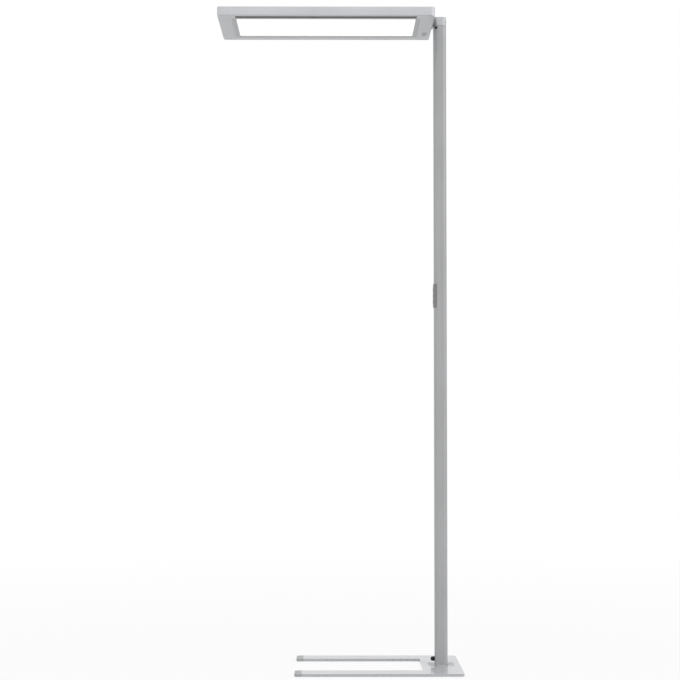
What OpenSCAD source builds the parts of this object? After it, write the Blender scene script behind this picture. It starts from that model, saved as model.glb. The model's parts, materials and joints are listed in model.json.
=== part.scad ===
// Office floor lamp: a flat light head on a slim post, standing on a forked base.
// Millimetres. +X runs from the light head towards the post, +Y to the back, +Z up.
// The origin is on the floor, in the middle of the whole outline.

/* [Base] */
// Length of the forked base
base_l = 487; // [440:1:540]
// Depth of the base, across both prongs
base_d = 356; // [320:2:400]
// Width of each prong
prong_w = 68; // [60:1:80]
// Length of the solid end that carries the post
yoke_l = 114; // [100:1:130]
// Thickness of the steel plate
plate_t = 8; // [8:0.5:12]
// Thickness of the floor pads
pad_t = 2; // [1:0.5:3]
// Diameter of the floor pads
pad_d = 28; // [20:1:36]
// Radius of the plate's outer corners
plate_r = 12; // [4:1:20]
// Radius at the closed end of the gap between the prongs
gap_r = 10; // [4:1:20]
// Length of the plastic caps on the prong tips
tip_l = 20; // [16:1:30]

/* [Post] */
// Width of the square post
post_w = 38; // [38:0.5:40]
// Radius of the post's corners
post_r = 12; // [11.5:0.5:12.5]
// Wall thickness of the post
post_wall = 2.5; // [2:0.25:2.5]
// Distance from the post's axis to the end of the base
post_inset = 56; // [50:1:64]
// Height of the cable inlet's axis above the floor
gland_z = 27; // [25:1:32]

/* [Light head] */
// Length of the light head
head_l = 636; // [560:2:700]
// Depth of the light head
head_d = 310; // [290:2:340]
// Thickness of the light head
head_t = 27; // [27:0.5:30]
// Height of the light head's underside above the floor
head_z = 1911; // [1750:1:2050]
// Radius of the light head's corners, seen from above
head_r = 12; // [6:1:16]
// Radius along the light head's upper and lower edges
edge_r = 3; // [2:0.5:4]
// Length of each end cap
cap_l = 40; // [38:1:50]
// Visible width of each side rail
rail_w = 33.5; // [30:0.5:40]
// Visible width of the frame round the diffuser
bezel_w = 13.5; // [8:0.5:18]

/* [Head swivel] */
// Distance from the swivel axis to the end of the light head
head_gap = 23; // [23:0.5:28]
// Diameter of the hollow spindle
spindle_d = 16; // [15.5:0.5:16]
// Radial clearance of the spindle in its bush
spindle_clear = 0.05; // [0.02:0.01:0.1]

/* [Controls] */
// Height of the middle of the control pad above the floor
pad_z = 1104; // [900:1:1300]
// Height of the control pad
pad_h = 70; // [70:1:90]
// How far the control pad stands proud of the post
pad_proud = 2; // [2:0.1:3]
// Height of each key
key_h = 15; // [12:1:15]
// Width of each key
key_w = 14; // [10:1:15]
// Travel of each key
key_travel = 0.9; // [0.5:0.1:0.9]

/* [Hidden] */
$fn = 48;
past = 1; // how far a cut runs past the face that it opens

// Places along X
over_l = post_inset + head_gap + head_l;
base_x1 = over_l / 2;
base_x0 = base_x1 - base_l;
post_x = base_x1 - post_inset;
head_x1 = post_x - head_gap;
head_x0 = head_x1 - head_l;
rail_x0 = head_x0 + cap_l;
rail_x1 = head_x1 - cap_l;
rail_mid = (rail_x0 + rail_x1) / 2;
rail_l = rail_x1 - rail_x0;

// Base
plate_z1 = pad_t + plate_t;
plate_x0 = base_x0 + tip_l;
gap_x1 = base_x1 - yoke_l;
gap_w = base_d - 2 * prong_w;
prong_y = (base_d - prong_w) / 2;
tip_r = 10;
tongue = [14, prong_w - 18, 4];
flange_w = 73.6;
flange_t = 4;
flange_r = 4;
seam = 0.2;
foot_screw_at = [15.5, 28];
m6 = 6;
m6_head_d = 11.5;
m6_head_h = 3.2;
m6_hex = 4;
hex_deep = 2;

// Inside of the post
inner_w = post_w - 2 * post_wall;
inner_r = post_r - post_wall;
slip = 0.1;
spigot_h = 60;
spigot_bore = 22;
set_screw_z = [30, 56];
set_screw_hex = 3;
gland_d = 13;
gland_thread_d = 10;
gland_bore_d = 7.5;
gland_out = 11.5;
gland_nut_t = 4;
gland_nut_d = 17;
gland_mouth_d = 9;
gland_past_nut = 2;
terminal_z0 = plate_z1 + spigot_h;
terminal_h = 44;
terminal = [22, 16, terminal_h];
terminal_hole_d = 3.4;
terminal_hole_deep = 6;
terminal_hole_z = 10;
riser_d = 7;
control_lead_d = 3.5;

// Swivel, from the seam downwards
seam_z = head_z + 5;
washer_t = 0.8;
washer_in = 0.5;
washer_play = 0.8;
post_z1 = seam_z - washer_t;
bush_l = 45;
bush_z0 = post_z1 - bush_l;
bush_d = 19;
spindle_z0 = bush_z0 - 4;
circlip_t = 1.2;
circlip_z0 = bush_z0 - 2;
circlip_d = 22;
circlip_gap = 6;
groove_d = 14;
lead_bore_d = 9;
clamp_x = post_x - 11.8;
clamp_z = seam_z - 7;
clamp_head_d = 7;
clamp_head_h = 4;
clamp_recess_d = 9.4;
clamp_head_y = -11.2;
clamp_nut_d = 8.08;
clamp_nut_t = 3.2;
clamp_nut_y = 6.8;
clamp_nut_play = 0.3;
clamp_hex = 3;
m4 = 4;
m5 = 5;
plug_d = 10.5;
plug_l = 11;
plug_z1 = spindle_z0 - 2;
plug_z0 = plug_z1 - plug_l;
pin_d = 5;
pin_l = 10;
socket_d = 14;
socket_bore_d = pin_d + 0.6;
socket_z1 = plug_z0 - 0.6;
socket_l = 20;
socket_z0 = socket_z1 - socket_l;
socket_flange_z0 = socket_z0 + 4;
socket_flange_t = 3;

// Adapter and bracket on top of the post
adapter_h = 25;
split_x = post_x - 10.5;
bracket_plate = [post_w / 2, 80];
bracket_z0 = seam_z + 1;
bracket_z1 = head_z + head_t - 1;
adapter_screw_y = 7.8;
adapter_screw_z = seam_z + 12;
bracket_screw_y = [-32, -14, 14, 32];
bracket_screw_z = head_z + 11;
m4_head_d = 7;
m4_head_h = 3.2;
m4_flat_d = 8;
m4_hex = 2.5;
lead_d = 6;
lead_z = head_z + 19.5;
lead_bend = 7;

// Light head
head_z1 = head_z + head_t;
wall = 2;
cap_wall = 3;
web_y = head_d / 2 - rail_w;
optics_l = rail_l - 6;
optics_d = 2 * web_y - 6;
opening_l = rail_l - 2 * bezel_w;
opening_d = 2 * web_y - 2 * bezel_w;
diffuser_z0 = head_z + wall;
guide_z0 = diffuser_z0 + 2;
guide_t = 4;
reflector_z0 = guide_z0 + guide_t;
reflector_t = 0.6;
ledge_w = 4;
ledge_t = 1.2;
gear_ledge_z0 = reflector_z0 + reflector_t;
gear_z0 = gear_ledge_z0 + ledge_t;
gear_t = 1.5;
cover_t = 2;
cover_z0 = head_z1 - cover_t;
cover_ledge_w = 9;
window_l = 500;
window_d = 190;
window_rim = 8;
window_t = 2;
boss_d = 9;
boss_y = head_d / 2 - rail_w / 2;
boss_z = head_z + head_t / 2;
cap_screw_l = cap_l + 20;
m5_head_d = boss_d - 1;
m5_head_h = 2.5;
m5_hex = 3;
cover_screw_x = [-rail_l / 2 + 30, 0, rail_l / 2 - 30];
cover_screw_y = web_y - cover_ledge_w / 2;
m3 = 3;
m3_head_d = 5.5;
m3_head_h = 1.25;
m3_hex = 2;
m3_hex_deep = 1;
m3_core_d = 2.8;
m3_pan_d = 5.6;
m3_pan_h = 2;

// Vent strip, set flush into the underside of the front rail
vent_y = [-head_d / 2 + 10, -web_y - 2];
vent_end = 12;
vent_t = 1;
vent_rim = 1.5;
vent_slot = [2.6, 0.8];
vent_pitch = 4;

// Light sources
strip_t = 1.5;
strip_h = 6;
strip_l = rail_l - 16;
strip_leds = 36;
led = 2.8;
led_t = 1;
uplight_l = 480;
uplight_w = 24;
uplight_t = 1.6;
uplight_y = 55;
uplight_leds = 20;
uplight_plug = [8, 10, 5];
uplight_lead_d = 3;

// Gear in the right end cap
floor_z = head_z + cap_wall;
driver = [28, 170, 20];
driver_at = [rail_x1 + 1.5, -130, floor_z];
tab = [28, 8, 2];
driver_plug = [14, 20, 12];
driver_plug_at = [driver_at[0] + 4, driver_at[1] + driver[1], lead_z - 8.5];
lead_x = driver_at[0] + driver[0] + 3.75;
lead_y = driver_plug_at[1] + 14;
sensor_at = [head_x1 - 19, 76];
sensor = [15, 46];
sensor_board_t = 1.6;
sensor_chip = [8, 4];

// Control pad
key_pitch = 18;
key_clear = 0.3;
key_proud = 0.9;
key_flange = 1.2;
key_r = 3;
key_lip = 0.8;
key_shell_x = post_x - post_w / 2 - pad_proud;
key_flange_x = post_x - post_w / 2 + slip;
stem_d = 4;
stem_gap = 0.1;
pad_wrap_x = post_x - 12.5;
key_window = [18.5, 58];
board_x = post_x - inner_w / 2 + 3;
board = [1.6, 15, 56];
switch = [1.6, 6, 6];
clip_t = 1.6;
clip_grip = 0.9;

// ---- Shapes used more than once ----

// Rectangle with round corners, centred on the origin
module rounded(w, d, r) {
    square([w - 2 * r, d], center = true);
    square([w, d - 2 * r], center = true);
    for (sx = [-1, 1], sy = [-1, 1])
        translate([sx * (w / 2 - r), sy * (d / 2 - r)]) circle(r);
}

// Box between two corners
module block(low, high) {
    translate(low) cube(high - low);
}

// Turns a cylinder's axis to +X or +Y
module to_x() rotate([0, 90, 0]) children();
module to_y() rotate([-90, 0, 0]) children();

// Round bar or hole along one axis, from a point
module bar_x(from, d, l) translate(from) to_x() cylinder(d = d, h = l);
module bar_y(from, d, l) translate(from) to_y() cylinder(d = d, h = l);
module bar_z(from, d, l) translate(from) cylinder(d = d, h = l);

// Quarter bend of a round lead, in the XY plane
module bend(d, r) rotate_extrude(angle = 90) translate([r, 0]) circle(d = d);

// Countersunk screw, or the hole for one, hanging from the origin
module countersunk(d, l, head_d, head_h) {
    translate([0, 0, -l]) cylinder(d = d, h = l);
    translate([0, 0, -head_h]) cylinder(d1 = d, d2 = head_d, h = head_h);
}

// Hexagon socket cut into a screw head's top
module hex_socket(across, deep) {
    translate([0, 0, -deep]) cylinder(d = across / cos(30), h = deep + past, $fn = 6);
}

// Outline of the post at a given wall offset
module post_outline(grow) {
    rounded(post_w + 2 * grow, post_w + 2 * grow, post_r + grow);
}

module on_post_axis(z) translate([post_x, 0, z]) children();

// ---- Base ----

module fork_outline() {
    l = base_x1 - plate_x0;
    difference() {
        union() {
            translate([plate_x0 + l / 2, 0]) rounded(l, base_d, plate_r);
            translate([plate_x0, -base_d / 2]) square([l / 2, base_d]);
        }
        translate([plate_x0, 0]) rounded(2 * (gap_x1 - plate_x0), gap_w, gap_r);
    }
}

module tongues(grow) {
    for (s = [-1, 1])
        translate([plate_x0 - tongue[0] - grow, s * prong_y - tongue[1] / 2 - grow,
                   pad_t + (plate_t - tongue[2]) / 2 - grow])
            cube([tongue[0] + grow, tongue[1] + 2 * grow, tongue[2] + 2 * grow]);
}

module at_foot_screws() {
    for (sx = [-1, 1], sy = [-1, 1])
        translate([post_x + sx * foot_screw_at[0], sy * foot_screw_at[1], plate_z1]) children();
}

module base_plate() {
    color("#c9cccf") {
        difference() {
            translate([0, 0, pad_t]) linear_extrude(plate_t) fork_outline();
            on_post_axis(plate_z1 - flange_t) linear_extrude(flange_t + past)
                rounded(flange_w + 2 * seam, flange_w + 2 * seam, flange_r + seam);
            at_foot_screws() translate([0, 0, -plate_t - past])
                cylinder(d = m6, h = plate_t + past);
        }
        tongues(0);
    }
}

module prong_caps() {
    color("#a4a7aa") difference() {
        for (s = [-1, 1]) translate([0, s * prong_y, pad_t]) linear_extrude(plate_t) {
            translate([base_x0 + tip_l / 2, 0]) rounded(tip_l, prong_w, tip_r);
            translate([base_x0 + tip_l / 2, -prong_w / 2]) square([tip_l / 2, prong_w]);
        }
        tongues(seam / 2);
    }
}

module floor_pads() {
    row_x = [plate_x0 + pad_d, (base_x0 + gap_x1) / 2, base_x1 - pad_d];
    color("#3a3a3c") for (x = row_x, s = [-1, 1]) bar_z([x, s * prong_y, 0], pad_d, pad_t);
}

module post_foot() {
    spigot_w = inner_w - 2 * slip;
    color("#b4b7ba") difference() {
        union() {
            on_post_axis(plate_z1 - flange_t) linear_extrude(flange_t)
                rounded(flange_w, flange_w, flange_r);
            on_post_axis(plate_z1) linear_extrude(spigot_h)
                rounded(spigot_w, spigot_w, inner_r - slip);
        }
        on_post_axis(plate_z1) linear_extrude(spigot_h + past)
            square(spigot_bore, center = true);
        block([post_x - inner_w / 2 - past, -spigot_bore / 2, plate_z1],
              [post_x, spigot_bore / 2, gland_z + gland_nut_d]);
        at_foot_screws() countersunk(m6, plate_t, m6_head_d, m6_head_h);
        for (z = set_screw_z) bar_y([post_x, 0, z], m6, inner_w);
    }
}

module foot_screws() {
    color("#8d9093") at_foot_screws() difference() {
        countersunk(m6, plate_t - seam, m6_head_d, m6_head_h);
        hex_socket(m6_hex, hex_deep);
    }
}

// ---- Post ----

module post() {
    color("#c4c7ca") difference() {
        on_post_axis(plate_z1) linear_extrude(post_z1 - plate_z1) difference() {
            post_outline(0);
            post_outline(-post_wall);
        }
        bar_x([post_x - post_w, 0, gland_z], gland_thread_d, post_w);
        for (z = set_screw_z) bar_y([post_x, 0, z], m6, post_w);
        block([post_x - post_w, -key_window[0] / 2, pad_z - key_window[1] / 2],
              [post_x - inner_w / 4, key_window[0] / 2, pad_z + key_window[1] / 2]);
        bar_y([clamp_x, -post_w, clamp_z], clamp_recess_d, post_w + clamp_head_y);
    }
}

module post_set_screws() {
    l = post_w / 2 - spigot_bore / 2 - seam;
    color("#5c5f62") for (z = set_screw_z) difference() {
        bar_y([post_x, spigot_bore / 2, z], m6, l);
        translate([post_x, spigot_bore / 2 + l, z]) to_y() hex_socket(set_screw_hex, set_screw_hex);
    }
}

module cable_gland() {
    face_x = post_x - post_w / 2;
    dome = 4;
    color("#1c1c1e") difference() {
        union() {
            bar_x([face_x - gland_out + dome, 0, gland_z], gland_d, gland_out - dome);
            translate([face_x - gland_out, 0, gland_z]) to_x()
                cylinder(d1 = gland_mouth_d, d2 = gland_d, h = dome);
            bar_x([face_x, 0, gland_z], gland_thread_d, post_wall + gland_nut_t + gland_past_nut);
        }
        bar_x([face_x - gland_out - past, 0, gland_z], gland_bore_d, post_w);
    }
}

module gland_nut() {
    color("#1c1c1e") difference() {
        translate([post_x - inner_w / 2, 0, gland_z]) to_x()
            cylinder(d = gland_nut_d, h = gland_nut_t, $fn = 6);
        bar_x([post_x - inner_w, 0, gland_z], gland_thread_d, inner_w);
    }
}

module terminal_block() {
    ways = 3;
    flange = 1.6;
    pitch = terminal[1] / ways;
    color("#e6e4dc") difference() {
        union() {
            on_post_axis(terminal_z0) linear_extrude(flange)
                rounded(inner_w - 1, inner_w - 1, inner_r);
            on_post_axis(terminal_z0) translate([-terminal[0] / 2, -terminal[1] / 2, 0])
                cube(terminal);
        }
        for (i = [0 : ways - 1], z = [terminal_hole_z, terminal_h - terminal_hole_z])
            bar_x([post_x - terminal[0], (i - (ways - 1) / 2) * pitch, terminal_z0 + z],
                  terminal_hole_d, terminal[0] / 2 + terminal_hole_deep);
    }
}

module riser_lead() {
    color("#d8d8d4")
        bar_z([post_x, 0, terminal_z0 + terminal_h], riser_d, socket_z0 - terminal_z0 - terminal_h);
}

module control_lead() {
    low = pad_z + board[2] / 2;
    color("#d8d8d4")
        bar_z([board_x + board[0] / 2, 0, low], control_lead_d, socket_flange_z0 - low);
}

// ---- Control pad ----

module key_cut(row, grow) {
    w = key_w + 2 * grow;
    h = key_h + 2 * grow;
    translate([key_shell_x - key_proud, 0, pad_z + row * key_pitch]) to_x()
        linear_extrude(key_proud + pad_proud + slip) rounded(h, w, key_r + grow);
}

module control_housing() {
    clip_z = board[2] / 2;
    color("#4b4e52") {
        difference() {
            on_post_axis(pad_z - pad_h / 2) linear_extrude(pad_h) difference() {
                post_outline(pad_proud);
                post_outline(0);
                translate([pad_wrap_x - post_x, -post_w]) square(2 * post_w);
            }
            for (row = [-1, 0, 1]) key_cut(row, key_clear);
        }
        for (s = [-1, 1])
            translate([key_shell_x + pad_proud / 2, -board[1] / 2,
                       pad_z + s * (clip_z + clip_t / 2 - clip_grip) - clip_t / 2])
                cube([board_x - key_shell_x - pad_proud / 2, board[1], clip_t]);
    }
}

module key(row) {
    z = pad_z + row * key_pitch;
    stem_end = board_x - switch[0] - key_travel - stem_gap;
    key_cut(row, 0);
    translate([key_flange_x, 0, z]) to_x()
        linear_extrude(key_flange) rounded(key_h + 2 * key_lip, key_w + 2 * key_lip, key_r);
    bar_x([key_flange_x + key_flange, 0, z], stem_d, stem_end - key_flange_x - key_flange);
}

module key_brighter() color("#6d7175") key(1);
module key_power() color("#6d7175") key(0);
module key_dimmer() color("#6d7175") key(-1);

module control_board() {
    color("#2f6b46") {
        translate([board_x, -board[1] / 2, pad_z - board[2] / 2]) cube(board);
        for (row = [-1, 0, 1])
            translate([board_x - switch[0], -switch[1] / 2, pad_z + row * key_pitch - switch[2] / 2])
                cube(switch);
    }
}

// ---- Swivel at the top of the post ----

module post_socket() {
    color("#2a2a2c") difference() {
        union() {
            bar_z([post_x, 0, socket_z0], socket_d, socket_l);
            on_post_axis(socket_flange_z0) linear_extrude(socket_flange_t)
                rounded(inner_w - 2 * slip, inner_w - 2 * slip, inner_r - slip);
        }
        bar_z([post_x, 0, socket_z1 - pin_l - 0.6], socket_bore_d, pin_l + 1.6);
    }
}

module post_top_insert() {
    slit = 1.5;
    color("#9fa2a5") difference() {
        on_post_axis(bush_z0) linear_extrude(bush_l)
            rounded(inner_w - 2 * slip, inner_w - 2 * slip, inner_r - slip);
        bar_z([post_x, 0, bush_z0 - past], bush_d, bush_l + 2 * past);
        block([post_x - inner_w, -slit / 2, bush_z0 - past],
              [post_x - bush_d / 4, slit / 2, post_z1 + past]);
        bar_y([clamp_x, -post_w, clamp_z], clamp_recess_d, post_w + clamp_head_y + clamp_head_h);
        bar_y([clamp_x, -post_w, clamp_z], m4, 2 * post_w);
        translate([clamp_x, clamp_nut_y, clamp_z]) to_y()
            cylinder(d = clamp_nut_d + clamp_nut_play, h = inner_w / 2, $fn = 6);
    }
}

module swivel_bush() {
    color("#e9e9e4") difference() {
        bar_z([post_x, 0, bush_z0], bush_d, bush_l);
        bar_z([post_x, 0, bush_z0 - past], spindle_d + 2 * spindle_clear, bush_l + 2 * past);
    }
}

module clamp_screw() {
    color("#1f1f21") difference() {
        union() {
            bar_y([clamp_x, clamp_head_y, clamp_z], clamp_head_d, clamp_head_h);
            bar_y([clamp_x, clamp_head_y, clamp_z], m4, clamp_nut_y + clamp_nut_t - clamp_head_y);
        }
        translate([clamp_x, clamp_head_y, clamp_z]) rotate([90, 0, 0]) hex_socket(clamp_hex, hex_deep);
    }
}

module clamp_nut() {
    color("#8d9093") difference() {
        translate([clamp_x, clamp_nut_y, clamp_z]) to_y()
            cylinder(d = clamp_nut_d, h = clamp_nut_t, $fn = 6);
        bar_y([clamp_x, 0, clamp_z], m4, post_w);
    }
}

module swivel_washer() {
    color("#232325") on_post_axis(post_z1) linear_extrude(washer_t) difference() {
        post_outline(-washer_in);
        circle(d = spindle_d + washer_play);
    }
}

module adapter_bores() {
    bar_z([post_x, 0, spindle_z0 - past], lead_bore_d, lead_z - spindle_z0 + past);
    translate([post_x, 0, lead_z]) sphere(d = lead_bore_d);
    bar_x([head_x1 - cap_l / 4, 0, lead_z], lead_bore_d, post_x - head_x1 + cap_l / 4);
}

module at_adapter_screws() {
    for (s = [-1, 1])
        translate([post_x + post_w / 2, s * adapter_screw_y, adapter_screw_z]) to_x() children();
}

module head_adapter() {
    color("#d0d3d5") difference() {
        union() {
            on_post_axis(seam_z) linear_extrude(adapter_h) difference() {
                post_outline(0);
                translate([split_x - post_x - post_w, -post_w]) square([post_w, 2 * post_w]);
            }
            bar_z([post_x, 0, spindle_z0], spindle_d, seam_z - spindle_z0);
        }
        adapter_bores();
        difference() {
            bar_z([post_x, 0, circlip_z0], spindle_d + past, circlip_t);
            bar_z([post_x, 0, circlip_z0 - past], groove_d, circlip_t + 2 * past);
        }
        at_adapter_screws() countersunk(m4, post_w, m4_flat_d, m4_head_h);
    }
}

module spindle_circlip() {
    color("#6c6f72") difference() {
        bar_z([post_x, 0, circlip_z0], circlip_d, circlip_t);
        bar_z([post_x, 0, circlip_z0 - past], groove_d, circlip_t + 2 * past);
        block([post_x + 2, -circlip_gap / 2, circlip_z0 - past],
              [post_x + post_w, circlip_gap / 2, circlip_z0 + 2 * circlip_t]);
    }
}

module head_plug() {
    color("#2a2a2c") {
        bar_z([post_x, 0, plug_z0], plug_d, plug_l);
        bar_z([post_x, 0, plug_z0 - pin_l], pin_d, pin_l);
    }
}

// Lead from the plug, up the hollow spindle, into the end cap and round to the driver
module head_lead() {
    turn_x = lead_x + lead_bend;
    plug_face_x = driver_plug_at[0] + driver_plug[0];
    color("#d8d8d4") {
        bar_z([post_x, 0, plug_z1], lead_d, lead_z - lead_bend - plug_z1);
        translate([post_x - lead_bend, 0, lead_z - lead_bend]) rotate([90, 0, 0])
            bend(lead_d, lead_bend);
        bar_x([turn_x, 0, lead_z], lead_d, post_x - lead_bend - turn_x);
        translate([turn_x, lead_bend, lead_z]) rotate(180) bend(lead_d, lead_bend);
        bar_y([lead_x, lead_bend, lead_z], lead_d, lead_y - 2 * lead_bend);
        translate([lead_x - lead_bend, lead_y - lead_bend, lead_z]) bend(lead_d, lead_bend);
        bar_x([plug_face_x, lead_y, lead_z], lead_d, lead_x - lead_bend - plug_face_x);
    }
}

module at_bracket_screws() {
    for (y = bracket_screw_y) translate([head_x1 - cap_wall, y, bracket_screw_z]) to_x() children();
}

module head_bracket() {
    color("#85888b") difference() {
        union() {
            on_post_axis(seam_z) linear_extrude(adapter_h) difference() {
                post_outline(0);
                translate([split_x - post_x, -post_w]) square(2 * post_w);
            }
            block([head_x1, -bracket_plate[1] / 2, bracket_z0],
                  [post_x - bracket_plate[0], bracket_plate[1] / 2, bracket_z1]);
        }
        adapter_bores();
        at_adapter_screws() countersunk(m4, post_w - 2, m4_flat_d, m4_head_h);
        at_bracket_screws() cylinder(d = m4, h = cap_wall + head_gap - post_w / 2 + past);
    }
}

module adapter_screws() {
    color("#8d9093") at_adapter_screws() difference() {
        countersunk(m4, post_w - 3, m4_flat_d, m4_head_h);
        hex_socket(m4_hex, hex_deep);
    }
}

module bracket_screws() {
    color("#8d9093") at_bracket_screws() difference() {
        union() {
            translate([0, 0, -m4_head_h]) cylinder(d = m4_head_d, h = m4_head_h);
            cylinder(d = m4, h = cap_wall + head_gap - post_w / 2);
        }
        rotate([180, 0, 0]) translate([0, 0, m4_head_h]) hex_socket(m4_hex, hex_deep);
    }
}

// ---- Light head: rails and end caps ----

// The head's cross-section across its depth, drawn with Z as its second axis
module head_section(grow) {
    translate([0, head_t / 2]) rounded(head_d + 2 * grow, head_t + 2 * grow, edge_r + grow);
}

// Extrudes a Y-Z section along X
module along_x(x0, l) {
    translate([x0, 0, head_z]) rotate([90, 0, 90]) linear_extrude(l) children();
}

module rail_section() {
    half = head_d / 2;
    difference() {
        intersection() {
            head_section(0);
            translate([-half, 0]) square([rail_w, head_t]);
        }
        intersection() {
            head_section(-wall);
            translate([-half, 0]) square([rail_w - wall, head_t]);
        }
    }
    difference() {
        translate([-boss_y, head_t / 2]) circle(d = boss_d);
        translate([-boss_y, head_t / 2]) circle(d = m5);
    }
    for (z = [wall / 2, (head_t + boss_d - wall) / 2])
        translate([-boss_y - wall / 2, z]) square([wall, (head_t - boss_d) / 2]);
    translate([-web_y, gear_ledge_z0 - head_z]) square([ledge_w, ledge_t]);
    translate([-web_y, cover_z0 - head_z - wall]) square([cover_ledge_w, wall]);
}

module at_cover_screws() {
    for (x = cover_screw_x, s = [-1, 1])
        translate([rail_mid + x, s * cover_screw_y, head_z1]) children();
}

module rail() {
    difference() {
        along_x(rail_x0, rail_l) rail_section();
        at_cover_screws() translate([0, 0, -cover_t - wall - past]) cylinder(d = m3, h = 2 * wall + past);
    }
}

// Room for the vent strip. A negative grow gives the strip itself.
module vent_room(grow, below) {
    block([rail_x0 + vent_end - grow, vent_y[0] - grow, head_z - below],
          [rail_x1 - vent_end + grow, vent_y[1] + grow, head_z + vent_t]);
}

module vent_strip() {
    l = rail_l - 2 * (vent_end + vent_rim);
    slots = floor(l / vent_pitch);
    color("#3a3a3c") difference() {
        vent_room(-slip, 0);
        for (i = [0 : slots - 1])
            translate([rail_mid + (i - (slots - 1) / 2) * vent_pitch - vent_slot[0] / 2,
                       vent_y[0] + vent_rim, head_z - past])
                cube([vent_slot[0], vent_y[1] - vent_y[0] - 2 * vent_rim, vent_slot[1] + past]);
    }
}

module front_rail() {
    color("#ccced1") difference() {
        rail();
        vent_room(0, past);
    }
}

module rear_rail() color("#ccced1") mirror([0, 1, 0]) rail();

// Outside of an end cap at the left end of the head
module cap_outside() {
    intersection() {
        translate([0, 0, head_z]) linear_extrude(head_t)
            translate([head_x0 + head_l / 2, 0]) rounded(head_l, head_d, head_r);
        along_x(head_x0, cap_l) head_section(0);
        translate([0, head_d, head_z]) rotate([90, 0, 0]) linear_extrude(2 * head_d)
            translate([head_x0 + head_l / 2, head_t / 2]) rounded(head_l, head_t, edge_r);
    }
}

module end_cap() {
    difference() {
        cap_outside();
        difference() {
            translate([head_x0 + cap_wall + cap_l, 0, floor_z])
                linear_extrude(head_t - 2 * cap_wall)
                    rounded(2 * cap_l, head_d - 2 * cap_wall, head_r - cap_wall);
            for (s = [-1, 1]) bar_x([head_x0, s * boss_y, boss_z], boss_d, cap_l);
        }
        for (s = [-1, 1]) translate([head_x0, s * boss_y, boss_z]) rotate([0, -90, 0])
            countersunk(m5, cap_l + past, m5_head_d, m5_head_h);
    }
}

// The head's own middle plane, for the cap at the other end
module at_right_end() {
    translate([head_x0 + head_x1, 0, 0]) mirror([1, 0, 0]) children();
}

module left_end_cap() color("#c6c9cc") end_cap();

module right_end_cap() {
    color("#c6c9cc") difference() {
        at_right_end() end_cap();
        at_bracket_screws() cylinder(d = m4, h = cap_wall + past);
        adapter_bores();
        translate([sensor_at[0], sensor_at[1], head_z - past]) linear_extrude(cap_wall + 2 * past)
            rounded(sensor[0], sensor[1], sensor[0] / 2 - 1);
        at_driver_screws() cylinder(d = m3_core_d, h = 2 * (cap_wall - 1), center = true);
    }
}

module end_cap_screw_pair() {
    for (s = [-1, 1]) translate([head_x0, s * boss_y, boss_z]) rotate([0, -90, 0]) difference() {
        countersunk(m5, cap_screw_l, m5_head_d, m5_head_h);
        hex_socket(m5_hex, hex_deep);
    }
}

module end_cap_screws() {
    color("#8d9093") {
        end_cap_screw_pair();
        at_right_end() end_cap_screw_pair();
    }
}

// ---- Light head: optics ----

// Flat sheet centred between the end caps
module sheet(l, d, z0, t) {
    translate([rail_mid - l / 2, -d / 2, z0]) cube([l, d, t]);
}

module diffuser_frame() {
    color("#8e9194") difference() {
        sheet(rail_l, 2 * web_y, head_z, wall);
        sheet(opening_l, opening_d, head_z - past, wall + 2 * past);
    }
}

module diffuser() color("white") sheet(optics_l, optics_d, diffuser_z0, guide_z0 - diffuser_z0);
module light_guide() color("#eaf4fa") sheet(optics_l, optics_d, guide_z0, guide_t);
module reflector_sheet() color("#f4f4f4") sheet(optics_l, optics_d, reflector_z0, reflector_t);

module led_strip() {
    board_y = -web_y;
    pitch = strip_l / strip_leds;
    led_z = guide_z0 + (guide_t - led) / 2;
    color("#f0efe6") {
        translate([rail_mid - strip_l / 2, board_y, diffuser_z0 + 0.2])
            cube([strip_l, strip_t, strip_h]);
        for (i = [0 : strip_leds - 1])
            translate([rail_mid + (i + 0.5) * pitch - strip_l / 2 - led / 2, board_y + strip_t, led_z])
                cube([led, led_t, led]);
    }
}

module front_led_strip() led_strip();
module rear_led_strip() mirror([0, 1, 0]) led_strip();

module gear_plate() color("#b9bcbf") sheet(optics_l, 2 * web_y - 1, gear_z0, gear_t);

module uplight_boards() {
    z = gear_z0 + gear_t;
    pitch = uplight_l / uplight_leds;
    color("#f0efe6") for (s = [-1, 1]) {
        translate([rail_mid - uplight_l / 2, s * uplight_y - uplight_w / 2, z])
            cube([uplight_l, uplight_w, uplight_t]);
        for (i = [0 : uplight_leds - 1])
            translate([rail_mid + (i + 0.5) * pitch - uplight_l / 2 - led / 2,
                       s * uplight_y - led / 2, z + uplight_t])
                cube([led, led, led_t]);
        translate([rail_mid + uplight_l / 2 - uplight_plug[0], s * uplight_y - uplight_plug[1] / 2,
                   z + uplight_t])
            cube(uplight_plug);
    }
}

module uplight_lead() {
    x0 = rail_mid + uplight_l / 2;
    z = gear_z0 + gear_t + uplight_t + uplight_plug[2] / 2;
    color("#d8d8d4") bar_x([x0, uplight_y, z], uplight_lead_d, driver_plug_at[0] - x0);
}

module top_cover() {
    color("#c6c9cc") difference() {
        sheet(rail_l, 2 * web_y, cover_z0, cover_t);
        sheet(window_l, window_d, cover_z0 - past, cover_t + 2 * past);
        at_cover_screws() countersunk(m3, 2 * cover_t, m3_head_d, m3_head_h);
    }
}

module uplight_window() {
    color("#eef2f4") {
        sheet(window_l + 2 * window_rim, window_d + 2 * window_rim, cover_z0 - window_t, window_t);
        sheet(window_l - seam, window_d - seam, cover_z0, cover_t);
    }
}

module top_cover_screws() {
    color("#8d9093") at_cover_screws() difference() {
        countersunk(m3, cover_t + wall, m3_head_d, m3_head_h);
        hex_socket(m3_hex, m3_hex_deep);
    }
}

// ---- Light head: gear in the right end cap ----

module at_driver_screws() {
    for (y = [driver_at[1] - tab[1] / 2, driver_at[1] + driver[1] + tab[1] / 2])
        translate([driver_at[0] + tab[0] / 4, y, floor_z]) children();
}

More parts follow.
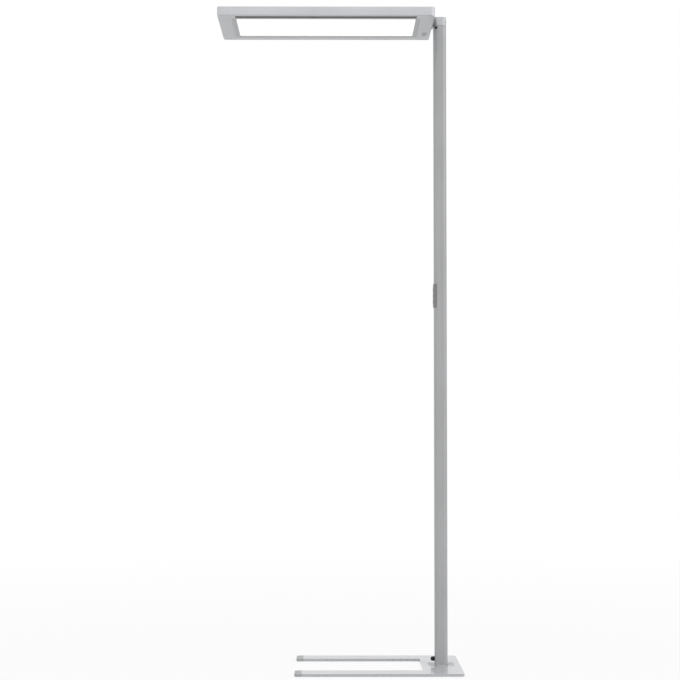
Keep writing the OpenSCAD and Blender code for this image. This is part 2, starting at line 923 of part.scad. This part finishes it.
module led_driver() {
    tabs_l = driver[1] + 2 * tab[1];
    color("#e2e2de") difference() {
        union() {
            translate(driver_at) cube(driver);
            translate(driver_at - [0, tab[1], 0]) cube([tab[0], tabs_l, tab[2]]);
            translate(driver_plug_at) cube(driver_plug);
        }
        at_driver_screws() translate([0, 0, -past]) cylinder(d = m3, h = tab[2] + 2 * past);
    }
}

module driver_screws() {
    color("#8d9093") at_driver_screws() {
        translate([0, 0, tab[2]]) cylinder(d = m3_pan_d, h = m3_pan_h);
        translate([0, 0, 2 - cap_wall]) cylinder(d = m3_core_d, h = tab[2] + cap_wall - 2);
    }
}

module sensor_window() {
    grow = 4;
    color("#77797c") translate([sensor_at[0], sensor_at[1], 0]) {
        translate([0, 0, head_z]) linear_extrude(cap_wall)
            rounded(sensor[0] - seam, sensor[1] - seam, sensor[0] / 2 - 1 - seam / 2);
        translate([0, 0, floor_z]) linear_extrude(1)
            rounded(sensor[0] + grow, sensor[1] + grow, sensor[0] / 2);
    }
}

module sensor_board() {
    color("#2f6b46") translate([sensor_at[0], sensor_at[1], floor_z + 1]) {
        linear_extrude(sensor_board_t) square([sensor[0] + 2, sensor[1] + 2], center = true);
        translate([0, 0, sensor_board_t]) cylinder(d = sensor_chip[0], h = sensor_chip[1]);
    }
}

base_plate();
prong_caps();
floor_pads();
post_foot();
foot_screws();
post();
post_set_screws();
cable_gland();
gland_nut();
terminal_block();
riser_lead();
control_lead();
control_housing();
key_brighter();
key_power();
key_dimmer();
control_board();
post_socket();
post_top_insert();
swivel_bush();
clamp_screw();
clamp_nut();
swivel_washer();
head_adapter();
spindle_circlip();
head_plug();
head_lead();
head_bracket();
adapter_screws();
bracket_screws();
front_rail();
rear_rail();
vent_strip();
left_end_cap();
right_end_cap();
end_cap_screws();
diffuser_frame();
diffuser();
light_guide();
reflector_sheet();
front_led_strip();
rear_led_strip();
gear_plate();
uplight_boards();
uplight_lead();
top_cover();
uplight_window();
top_cover_screws();
led_driver();
driver_screws();
sensor_window();
sensor_board();
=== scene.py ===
"""Looks of the office floor lamp: finishes, softened edges, small fittings, studio and camera."""

import json
import math

import bmesh
import bpy
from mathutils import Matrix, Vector


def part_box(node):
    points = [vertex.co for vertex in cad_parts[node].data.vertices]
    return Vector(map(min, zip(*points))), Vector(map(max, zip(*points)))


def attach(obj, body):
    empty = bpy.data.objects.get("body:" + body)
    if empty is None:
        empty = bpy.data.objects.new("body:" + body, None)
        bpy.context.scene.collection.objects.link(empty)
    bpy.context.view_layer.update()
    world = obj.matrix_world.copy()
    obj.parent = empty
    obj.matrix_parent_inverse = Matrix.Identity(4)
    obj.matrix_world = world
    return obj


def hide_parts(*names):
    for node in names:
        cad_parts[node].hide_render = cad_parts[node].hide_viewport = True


MM = 0.001

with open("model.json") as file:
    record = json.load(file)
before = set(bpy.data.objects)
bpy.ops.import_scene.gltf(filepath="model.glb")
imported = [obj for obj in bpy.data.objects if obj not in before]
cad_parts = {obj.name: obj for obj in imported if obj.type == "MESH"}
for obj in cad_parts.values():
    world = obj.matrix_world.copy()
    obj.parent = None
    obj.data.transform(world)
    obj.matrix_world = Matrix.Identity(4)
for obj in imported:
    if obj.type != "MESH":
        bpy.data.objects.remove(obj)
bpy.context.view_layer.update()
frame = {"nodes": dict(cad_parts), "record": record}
nodes = frame["nodes"]


# ---- Node trees ----

def add(tree, kind, inputs=None, **settings):
    """Adds a shader node. An input is a value, or a socket to link from."""
    new = tree.nodes.new("ShaderNode" + kind)
    for name, value in settings.items():
        setattr(new, name, value)
    for name, value in (inputs or {}).items():
        if isinstance(value, bpy.types.NodeSocket):
            tree.links.new(value, new.inputs[name])
        else:
            new.inputs[name].default_value = value
    return new


def new_material(name):
    made = bpy.data.materials.new(name)
    made.use_nodes = True
    made.node_tree.nodes.clear()
    return made, made.node_tree


def grey(level, tint=0.0):
    """Linear colour of a grey given as an sRGB level from 0 to 255, a little blue where tint is set."""
    def linear(value):
        part = value / 255
        return part / 12.92 if part <= 0.04045 else ((part + 0.055) / 1.055) ** 2.4
    return (linear(level - tint), linear(level), linear(level + 2 * tint), 1.0)


def scaled(colour, factor):
    return tuple(min(1.0, part * factor) for part in colour[:3]) + (1.0,)


def noise(tree, size, stretch=(1, 1, 1), detail=3.0):
    """Noise whose grains are about `size` millimetres, stretched along the axes by `stretch`."""
    place = add(tree, "TexCoord").outputs["Object"]
    scale = [1 / (size * MM * part) for part in stretch]
    mapped = add(tree, "Mapping", {"Vector": place, "Scale": scale})
    made = add(tree, "TexNoise", {"Vector": mapped.outputs[0], "Scale": 1.0, "Detail": detail})
    return made.outputs["Fac"]


def remap(tree, value, low, high, from_low=0.3, from_high=0.7):
    made = add(tree, "MapRange", {
        "Value": value, "From Min": from_low, "From Max": from_high, "To Min": low, "To Max": high})
    return made.outputs["Result"]


def blend_colour(tree, factor, first, second, mode="MIX"):
    made = add(tree, "Mix", data_type="RGBA", blend_type=mode)
    sockets = (made.inputs[0], made.inputs[6], made.inputs[7])
    for socket, value in zip(sockets, (factor, first, second)):
        if isinstance(value, bpy.types.NodeSocket):
            tree.links.new(value, socket)
        else:
            socket.default_value = value
    return made.outputs[2]


def math_node(tree, operation, first, second=0.0):
    made = add(tree, "Math", {0: first, 1: second}, operation=operation)
    return made.outputs[0]


def bump(tree, height, depth, normal=None):
    """Bump of a height from 0 to 1 that is `depth` millimetres deep."""
    inputs = {"Height": height, "Distance": depth * MM, "Strength": 1.0}
    if normal is not None:
        inputs["Normal"] = normal
    return add(tree, "Bump", inputs).outputs["Normal"]


def edge_mask(tree, reach, patch_size):
    """1 where an edge is rubbed within `reach` millimetres, broken up into patches."""
    bent, straight = 0.9, 0.995
    bare_from, bare_to = 0.45, 0.62
    rounded = add(tree, "Bevel", {"Radius": reach * MM}, samples=6).outputs["Normal"]
    flat = add(tree, "NewGeometry").outputs["Normal"]
    facing = add(tree, "VectorMath", {0: rounded, 1: flat}, operation="DOT_PRODUCT").outputs["Value"]
    edge = remap(tree, facing, 1.0, 0.0, bent, straight)
    patches = remap(tree, noise(tree, patch_size, detail=5.0), 0.0, 1.0, bare_from, bare_to)
    return math_node(tree, "MULTIPLY", edge, patches)


def finish(name, colour, roughness, metallic=0.0, grain=0.6, stretch=(1, 1, 1), depth=0.03,
           variation=0.03, patch=90, haze=0.05, wear=0.0, worn=None, soft_edge=0.0, **shader):
    """A finish with fine grain, wider mottling, slow changes of tone and gloss, and rubbed edges.

    grain, patch: size in millimetres of the grain and of the slow changes, with mottling between.
    depth: depth in millimetres of the grain. variation, haze: how far tone and roughness vary.
    soft_edge: radius in millimetres that sharp edges are shaded with.
    """
    mottle_size = 6 * grain
    mottle_gloss = 0.06
    rub_reach = 0.8
    rub_patch = 4.0
    made, tree = new_material(name)
    fine = noise(tree, grain, stretch, detail=3.0)
    mottle = noise(tree, mottle_size, stretch, detail=2.0)
    slow = noise(tree, patch, detail=2.0)
    tone = remap(tree, fine, 1 - variation, 1 + variation)
    for wider in (mottle, slow):
        tone = math_node(tree, "MULTIPLY", tone, remap(tree, wider, 1 - variation, 1 + variation))
    tone_colour = add(tree, "CombineColor", {"Red": tone, "Green": tone, "Blue": tone}).outputs[0]
    base = blend_colour(tree, 1.0, colour, tone_colour, "MULTIPLY")
    if wear:
        rubbed = math_node(tree, "MULTIPLY", edge_mask(tree, rub_reach, rub_patch), wear)
        base = blend_colour(tree, rubbed, base, worn or scaled(colour, 1.25))
    gloss = math_node(tree, "MULTIPLY", remap(tree, slow, roughness - haze, roughness + haze),
                      remap(tree, mottle, 1 - mottle_gloss, 1 + mottle_gloss))
    rounded = None
    if soft_edge:
        rounded = add(tree, "Bevel", {"Radius": soft_edge * MM}, samples=4).outputs["Normal"]
    relief = bump(tree, fine, depth, bump(tree, mottle, depth, rounded))
    body = add(tree, "BsdfPrincipled", {
        "Base Color": base, "Roughness": gloss, "Metallic": metallic, "Normal": relief})
    for socket, value in shader.items():
        body.inputs[socket.replace("_", " ")].default_value = value
    tree.links.new(body.outputs[0], add(tree, "OutputMaterial").inputs["Surface"])
    return made


def shader_of(made):
    return next(n for n in made.node_tree.nodes if n.type == "BSDF_PRINCIPLED")


# ---- Finishes, one for each material slot of the record ----

ALONG_X = (120, 1, 1)
ALONG_Z = (1, 1, 160)


def coated_steel():
    """Satin powder coat on the base: orange peel under a soft gloss."""
    return finish("base_coat", grey(173, 1.5), 0.3, metallic=0.1, grain=1.4, depth=0.05, variation=0.02,
                  patch=120, haze=0.05, wear=0.5, worn=grey(205), Coat_Weight=0.6, Coat_Roughness=0.16)


def anodised(name, level, stretch, tint=0.6):
    """Extruded aluminium: long hairlines from the die under a matt anodised skin."""
    return finish(name, grey(level, tint), 0.42, metallic=0.35, grain=0.5, stretch=stretch, depth=0.012,
                  variation=0.035, patch=160, haze=0.06, wear=0.4, worn=grey(232))


def cast_coat(name, level, tint=1.0):
    """Cast parts under a fine-textured silver coat."""
    return finish(name, grey(level, tint), 0.46, metallic=0.3, grain=0.8, depth=0.06, variation=0.025,
                  patch=40, haze=0.06, wear=0.5, worn=grey(228), soft_edge=0.5)


def moulded(name, colour, roughness=0.5, **shader):
    """Moulded plastic with a spark-eroded texture."""
    return finish(name, colour, roughness, grain=0.45, depth=0.035, variation=0.025, patch=25, haze=0.05,
                  wear=0.3, worn=scaled(colour, 1.35), soft_edge=0.3, **shader)


def plated(name, level, roughness=0.3):
    """Zinc-plated or blackened steel of the screws."""
    return finish(name, grey(level, 1.0), roughness, metallic=0.9, grain=0.25, depth=0.012, variation=0.1,
                  patch=5, haze=0.1, wear=0.5, worn=grey(235))


def machined(name, level, stretch):
    """Bare machined or rolled aluminium inside the lamp."""
    return finish(name, grey(level), 0.38, metallic=0.85, grain=0.4, stretch=stretch, depth=0.01,
                  variation=0.06, patch=60, haze=0.08)


def rubber(name, colour):
    return finish(name, colour, 0.75, grain=0.5, depth=0.05, variation=0.12, patch=12, haze=0.08)


def board(name, colour, trace):
    """Circuit board: solder mask over a pattern of tracks."""
    made = finish(name, colour, 0.35, grain=0.5, depth=0.01, variation=0.05, patch=20)
    tree = made.node_tree
    place = add(tree, "TexCoord").outputs["Object"]
    tracks = add(tree, "TexBrick", {
        "Vector": place, "Scale": 1 / (4 * MM), "Mortar Size": 0.06, "Color1": colour,
        "Color2": scaled(colour, 0.85), "Mortar": trace})
    tree.links.new(tracks.outputs["Color"], shader_of(made).inputs["Base Color"])
    return made


def lit_acrylic(name, strength, prism):
    """Opal acrylic lit from behind, moulded with rows of small prisms `prism` millimetres wide."""
    glow = (1.0, 1.0, 0.985, 1.0)
    valley = (0.34, 0.34, 0.335, 1)
    crest = (0.38, 0.38, 0.375, 1)
    prism_depth = 0.15
    valley_light = 0.93
    cloud_light = 0.02
    # The wave texture repeats every 2 pi / 20 of a unit at a scale of 1
    scale_of_one_wave = 2 * math.pi / 20
    made, tree = new_material(name)
    place = add(tree, "TexCoord").outputs["Object"]
    ridges = []
    for direction in ("X", "Y"):
        wave = add(tree, "TexWave", {"Vector": place, "Scale": scale_of_one_wave / (prism * MM)},
                   bands_direction=direction, wave_profile="TRI")
        ridges.append(wave.outputs["Fac"])
    prisms = math_node(tree, "MULTIPLY", *ridges)
    cloud = noise(tree, 120, detail=2.0)
    clouded = remap(tree, cloud, strength * (1 - cloud_light), strength * (1 + cloud_light))
    level = math_node(tree, "MULTIPLY", remap(tree, prisms, valley_light, 1.0, 0.0, 1.0), clouded)
    body = add(tree, "BsdfPrincipled", {
        "Base Color": blend_colour(tree, prisms, valley, crest),
        "Roughness": remap(tree, cloud, 0.3, 0.4), "Emission Color": glow,
        "Emission Strength": level, "Normal": bump(tree, prisms, prism_depth)})
    tree.links.new(body.outputs[0], add(tree, "OutputMaterial").inputs["Surface"])
    return made


def clear_acrylic():
    """Clear light guide with a faint grain."""
    return finish("guide_acrylic", (0.93, 0.96, 0.97, 1), 0.12, grain=2.0, depth=0.002,
                  variation=0.01, haze=0.03, Transmission_Weight=0.85, IOR=1.49)


MATERIALS = {
    "base_steel": coated_steel(),
    "tip_plastic": moulded("tip_plastic", grey(160, 0.8), 0.45),
    "pad_rubber": rubber("pad_rubber", grey(46)),
    "cast_silver": cast_coat("cast_silver", 196, 1.6),
    # The head bracket's dark grey covers the adapter's left part where the head shades it: partly the
    # bracket's own colour, partly painted shade.
    "cast_grey": cast_coat("cast_grey", 164, 1.2),
    "insert_alloy": machined("insert_alloy", 196, ALONG_Z),
    "post_alloy": anodised("post_alloy", 165, ALONG_Z),
    "rail_alloy": anodised("rail_alloy", 197, ALONG_X, 1.6),
    "vent_plastic": moulded("vent_plastic", grey(80), 0.5),
    "cover_metal": cast_coat("cover_metal", 200, 1.4),
    "gear_sheet": machined("gear_sheet", 200, ALONG_X),
    "fastener_steel": plated("fastener_steel", 178),
    "black_screw": plated("black_screw", 66, 0.4),
    "black_plastic": moulded("black_plastic", grey(22), 0.5, Specular_IOR_Level=0.25),
    "terminal_plastic": moulded("terminal_plastic", (0.78, 0.76, 0.68, 1), 0.45),
    "lead_sheath": rubber("lead_sheath", grey(212)),
    "pad_plastic": moulded("pad_plastic", grey(128), 0.48),
    "key_plastic": moulded("key_plastic", grey(150), 0.4),
    "circuit_board": board("circuit_board", (0.03, 0.16, 0.07, 1), (0.08, 0.3, 0.12, 1)),
    "bush_plastic": moulded("bush_plastic", grey(232), 0.4),
    "frame_plastic": moulded("frame_plastic", grey(181, 0.8), 0.5),
    "diffuser_acrylic": lit_acrylic("diffuser_acrylic", 0.75, 5.0),
    "guide_acrylic": clear_acrylic(),
    "reflector_film": finish("reflector_film", grey(243), 0.35, grain=1.2, depth=0.004,
                             variation=0.01),
    "led_board": board("led_board", grey(240), grey(205)),
    "uplight_acrylic": lit_acrylic("uplight_acrylic", 0.48, 7.0),
    "driver_case": moulded("driver_case", grey(228), 0.45),
    "sensor_lens": finish("sensor_lens", grey(132), 0.3, grain=1.1, depth=0.05, variation=0.05,
                          patch=6),
}
# Own copies of the cast coat for two nodes, in place of their slot's finish. The adapter's copy is darker
# than its slot's cast silver: painted shade against the light that falls on it. The foot's copy is a tone
# of its own.
NODE_TONE_COPIES = {
    "head_adapter": cast_coat("adapter_silver_painted_shade", 186, 1.6),
    "post_foot": cast_coat("foot_silver", 182, 1.2),
}
MARK_PRINT = finish("mark_print", grey(236), 0.5, grain=0.15, depth=0.004, variation=0.03, patch=4)

for entry in frame["record"]["subparts"]:
    own = nodes[entry["node"]].data
    own.materials.clear()
    own.materials.append(NODE_TONE_COPIES.get(entry["node"], MATERIALS[entry["material_slot"]]))


# ---- Softened edges of the solids ----

def soften(name, radius):
    """Rounds a solid's sharp edges by `radius` millimetres, which also draws the seams between parts."""
    piece = nodes[name]
    weld = piece.modifiers.new("weld", "WELD")
    weld.merge_threshold = 1e-6
    flat_faces = piece.modifiers.new("flat_faces", "DECIMATE")
    flat_faces.decimate_type = "DISSOLVE"
    flat_faces.angle_limit = math.radians(0.5)
    round_edges = piece.modifiers.new("round_edges", "BEVEL")
    round_edges.width = radius * MM
    round_edges.segments = 3
    round_edges.limit_method = "ANGLE"
    round_edges.angle_limit = math.radians(35)
    round_edges.use_clamp_overlap = False
    smooth = piece.modifiers.new("smooth", "WEIGHTED_NORMAL")
    smooth.keep_sharp = True


# The post, the control housing, the end caps and the adapter keep their own meshes, because webs
# and walls beside their openings are thinner than a bevel needs.
EDGE_RADII = {
    "base_plate": 0.8, "prong_caps": 0.5, "post_foot": 0.3, "key_brighter": 0.4,
    "key_power": 0.4, "key_dimmer": 0.4, "head_bracket": 0.5, "front_rail": 0.3, "rear_rail": 0.3,
    "diffuser_frame": 0.25, "top_cover": 0.3, "uplight_window": 0.2, "sensor_window": 0.2,
    "floor_pads": 0.4,
}
for name, radius in EDGE_RADII.items():
    soften(name, radius)


# ---- Small fittings made as meshes ----

def mesh_piece(name, build, body, slot, material=None):
    """Makes a piece from a function that fills a bmesh, and lets it ride on a body."""
    shape = bmesh.new()
    build(shape)
    bmesh.ops.recalc_face_normals(shape, faces=shape.faces)
    mesh = bpy.data.meshes.new(name)
    shape.to_mesh(mesh)
    shape.free()
    mesh.materials.append(material or MATERIALS[slot])
    mesh.shade_smooth()
    mesh.set_sharp_from_angle(angle=math.radians(35))
    piece = bpy.data.objects.new(name, mesh)
    bpy.context.scene.collection.objects.link(piece)
    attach(piece, body)
    return piece


def join_rings(shape, rings):
    """Faces between each ring of points and the next, and between the last and the first."""
    for first, second in zip(rings, rings[1:] + rings[:1]):
        for step in range(len(first)):
            after = (step + 1) % len(first)
            shape.faces.new((first[step], first[after], second[after], second[step]))


def turn(shape, profile, centre, steps=96, ribs=0, rib_depth=0.0):
    """Turns a closed profile of (x, radius, 1 where ribbed) round an axis along X through `centre`."""
    groove_below = -0.3
    rings = []
    for x, radius, ribbed in profile:
        ring = []
        for step in range(steps):
            angle = 2 * math.pi * step / steps
            on_rib = math.cos(ribs * angle) > groove_below
            reach = radius + ribbed * rib_depth * on_rib
            ring.append(shape.verts.new((x, centre[0] + reach * math.cos(angle),
                                         centre[1] + reach * math.sin(angle))))
        rings.append(ring)
    join_rings(shape, rings)


def cable_gland():
    """Cord grip on the post: a hexagon against the wall, a ribbed nut and a seal in its mouth."""
    low, high = (Vector(corner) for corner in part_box("cable_gland"))
    centre = ((low.y + high.y) / 2, (low.z + high.z) / 2)
    wall_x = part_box("post")[0][0]
    mouth_x = low.x
    bore_r = 3.75 * MM
    thread_r = 5 * MM
    tolerance = 0.001 * MM

    def nut(shape):
        """Collar, ribs that taper towards the mouth, shoulder, round rim and a cone into the bore."""
        collar_x = mouth_x + 6.5 * MM
        shoulder_x = mouth_x + 1.9 * MM
        rim_x = mouth_x + 0.7 * MM
        cone_x = mouth_x + 1.2 * MM
        nut_r = 6.1 * MM
        taper_r = 5.8 * MM
        shoulder_r = 5.6 * MM
        rim_r = 5 * MM
        face_r = 4.2 * MM
        lip_r = 4 * MM
        rib_depth = 0.35 * MM
        run_out = 0.5 * MM
        turn(shape, [
            (high.x, bore_r, 0), (high.x, thread_r, 0), (wall_x, thread_r, 0), (wall_x, nut_r, 0),
            (collar_x, nut_r, 0), (collar_x - run_out, nut_r, 1),
            (shoulder_x + run_out, taper_r, 1), (shoulder_x, shoulder_r, 0), (rim_x, rim_r, 0),
            (mouth_x, face_r, 0), (mouth_x, lip_r, 0), (cone_x, bore_r, 0)],
            centre, ribs=16, rib_depth=rib_depth)

    def hexagon(shape):
        corner_r = 7.4 * MM
        front_x = wall_x - 3.4 * MM
        edge_r = 0.5 * MM
        turn(shape, [(wall_x, thread_r, 0), (wall_x, corner_r, 0), (front_x, corner_r, 0),
                     (front_x, thread_r, 0)], centre, steps=6)

        def outside(vert):
            return abs((vert.co.yz - Vector(centre)).length - corner_r) < tolerance

        outer_edges = [edge for edge in shape.edges if all(outside(vert) for vert in edge.verts)]
        bmesh.ops.bevel(shape, geom=outer_edges, offset=edge_r, segments=2, affect="EDGES")

    def seal(shape):
        front_x = mouth_x + 0.5 * MM
        back_x = mouth_x + 3 * MM
        front_r = 3.9 * MM
        back_r = 4.1 * MM
        turn(shape, [(front_x, bore_r, 0), (front_x, front_r, 0), (back_x, back_r, 0),
                     (back_x, bore_r, 0)], centre, steps=64)

    made = mesh_piece("cable_gland_nut", nut, "root", "black_plastic")
    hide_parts("cable_gland")
    mesh_piece("cable_gland_hexagon", hexagon, "root", "black_plastic")
    mesh_piece("cable_gland_seal", seal, "root", "pad_rubber")


def plate_on_key(shape, outline, face_x):
    """Thin raised print from an outline of (y, z) points on the face of a key."""
    print_height = 0.08 * MM
    face = shape.faces.new([shape.verts.new((face_x, y, z)) for y, z in outline])
    raised = bmesh.ops.extrude_face_region(shape, geom=[face])
    moved = [item for item in raised["geom"] if isinstance(item, bmesh.types.BMVert)]
    bmesh.ops.translate(shape, verts=moved, vec=(-print_height, 0, 0))


def key_marks():
    """Generic marks on the keys: a plus, an open ring with a stroke, and a minus."""
    reach = 2.6 * MM
    stroke = 0.45 * MM

    def bar(y, z, half_y, half_z):
        return [(y - half_y, z - half_z), (y + half_y, z - half_z),
                (y + half_y, z + half_z), (y - half_y, z + half_z)]

    def open_ring(y, z):
        gap = math.radians(38)
        steps = 28
        start = math.pi / 2 + gap
        arc = 2 * math.pi - 2 * gap
        turns = [start + arc * step / steps for step in range(steps + 1)]
        inner, outer = reach - stroke, reach + stroke
        parts = []
        for first, second in zip(turns, turns[1:]):
            corners = ((inner, first), (outer, first), (outer, second), (inner, second))
            parts.append([(y + r * math.cos(a), z + r * math.sin(a)) for r, a in corners])
        return parts

    def minus(y, z):
        return [bar(y, z, reach, stroke)]

    def plus(y, z):
        arm_middle = (reach + stroke) / 2
        arms = [bar(y, z + side * arm_middle, stroke, (reach - stroke) / 2) for side in (-1, 1)]
        return minus(y, z) + arms

    def power(y, z):
        stroke_middle = 0.75 * reach
        stroke_half = 0.55 * reach
        return open_ring(y, z) + [bar(y, z + stroke_middle, stroke, stroke_half)]

    marks = {"key_brighter": plus, "key_power": power, "key_dimmer": minus}
    for key, outlines in marks.items():
        low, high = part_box(key)
        middle = ((low[1] + high[1]) / 2, (low[2] + high[2]) / 2)

        def build(shape, outlines=outlines, face_x=low[0], middle=middle):
            for outline in outlines(*middle):
                plate_on_key(shape, outline, face_x)
        mesh_piece(key + "_mark", build, key, "key_plastic", MARK_PRINT)


def bead(name, low, high, z, radius, corner, slot):
    """Soft bead of round section that runs round a rectangular opening of the light head."""
    round_steps = 8
    ring_steps = 10

    def build(shape):
        path = []
        left, right = low[0] + corner, high[0] - corner
        front, back = low[1] + corner, high[1] - corner
        corners = ((right, back), (left, back), (left, front), (right, front))
        for quarter, (x, y) in enumerate(corners):
            for step in range(round_steps + 1):
                angle = math.pi / 2 * (quarter + step / round_steps)
                path.append((x, y, angle))
        rings = []
        for x, y, angle in path:
            ring = []
            for step in range(ring_steps):
                turned = 2 * math.pi * step / ring_steps
                out = corner + radius * math.cos(turned)
                ring.append(shape.verts.new((x + out * math.cos(angle), y + out * math.sin(angle),
                                             z + radius * math.sin(turned))))
            rings.append(ring)
        join_rings(shape, rings)
    mesh_piece(name, build, "head", slot)


def window_beads():
    """Beads in the gaps round the diffuser below and the uplight window on top."""
    frame_width = 13.5 * MM
    window_rim = 8 * MM
    corner = 2 * MM
    for name, node, inset, radius, sunk, slot in (
            ("diffuser_bead", "diffuser_frame", frame_width, 0.7 * MM, 0.5 * MM, "lead_sheath"),
            ("uplight_bead", "uplight_window", window_rim, 0.5 * MM, 0.1 * MM, "pad_rubber")):
        low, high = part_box(node)
        bead(name, (low[0] + inset, low[1] + inset), (high[0] - inset, high[1] - inset),
             high[2] - sunk, radius, corner, slot)


cable_gland()
key_marks()
window_beads()


# ---- Studio ----

WHITE = (1, 1, 1, 1)
FLOOR_SIZE = 30
FLOOR_COLOUR = (0.72, 0.72, 0.72, 1)
FLOOR_WHITE = 0.88
WHITE_NEAR = 1.0
WHITE_FAR = 4.0
AMBIENT = 0.55
PANEL_ANGLE = 50


def seen_directly(tree):
    """1 for rays from the camera, mirrored or seen through glass, 0 for light on matt surfaces."""
    path = add(tree, "LightPath")
    seen = math_node(tree, "MAXIMUM", path.outputs["Is Camera Ray"], path.outputs["Is Glossy Ray"])
    return math_node(tree, "MAXIMUM", seen, path.outputs["Is Transmission Ray"])


def studio_floor():
    """Floor that looks almost white and keeps a share of the lamp's shadow, less and less far out."""
    bpy.ops.mesh.primitive_plane_add(size=FLOOR_SIZE, location=(0, 0, 0))
    floor = bpy.context.object
    floor.name = "studio_floor"
    made, tree = new_material("studio_floor")
    place = add(tree, "TexCoord").outputs["Object"]
    away = add(tree, "VectorMath", {0: place}, operation="LENGTH").outputs["Value"]
    share = remap(tree, away, FLOOR_WHITE, 1.0, WHITE_NEAR, WHITE_FAR)
    white = math_node(tree, "MULTIPLY", seen_directly(tree), share)
    matt = add(tree, "BsdfDiffuse", {"Color": FLOOR_COLOUR})
    glow = add(tree, "Emission", {"Color": WHITE, "Strength": 1.0})
    mixed = add(tree, "MixShader", {"Fac": white})
    tree.links.new(matt.outputs[0], mixed.inputs[1])
    tree.links.new(glow.outputs[0], mixed.inputs[2])
    tree.links.new(mixed.outputs[0], add(tree, "OutputMaterial").inputs["Surface"])
    floor.data.materials.append(made)


def studio_world():
    """White surroundings that light the lamp with the strength AMBIENT only."""
    world = bpy.data.worlds.new("studio_world")
    bpy.context.scene.world = world
    world.use_nodes = True
    tree = world.node_tree
    tree.nodes.clear()
    strength = remap(tree, seen_directly(tree), AMBIENT, 1.0, 0.0, 1.0)
    back = add(tree, "Background", {"Color": WHITE, "Strength": strength})
    tree.links.new(back.outputs[0], add(tree, "OutputWorld").inputs["Surface"])


def sky_panel(name, towards, share):
    """A very wide soft lamp. `share` is the light it gives to a surface that faces it, 1 being full."""
    lamp = bpy.data.lights.new(name, "SUN")
    lamp.angle = math.radians(PANEL_ANGLE)
    lamp.energy = share * math.pi
    placed = bpy.data.objects.new(name, lamp)
    placed.rotation_euler = Vector(towards).to_track_quat("Z", "Y").to_euler()
    bpy.context.scene.collection.objects.link(placed)


studio_floor()
studio_world()
sky_panel("panel_right", (0.8, -0.5, 0.75), 0.5)
sky_panel("panel_left", (-0.7, -0.55, 0.8), 0.28)


# ---- Camera ----

CAMERA_AT = (-0.0241, -4.8027, 0.751)
CAMERA_TILT = 92.2
CAMERA_TURN = -0.3111
CAMERA_LENS = 85.25
CAMERA_SENSOR = 36.0
CAMERA_SHIFT = 0.018


def place_camera():
    """Camera in front of the lamp, tilted up slightly, with a small shift that keeps the base in."""
    view = bpy.data.cameras.new("camera")
    view.lens = CAMERA_LENS
    view.sensor_width = CAMERA_SENSOR
    view.shift_y = CAMERA_SHIFT
    camera = bpy.data.objects.new("camera", view)
    camera.location = CAMERA_AT
    camera.rotation_euler = (math.radians(CAMERA_TILT), 0, math.radians(CAMERA_TURN))
    bpy.context.scene.collection.objects.link(camera)
    bpy.context.scene.camera = camera
    bpy.context.scene.view_settings.view_transform = "Standard"


place_camera()
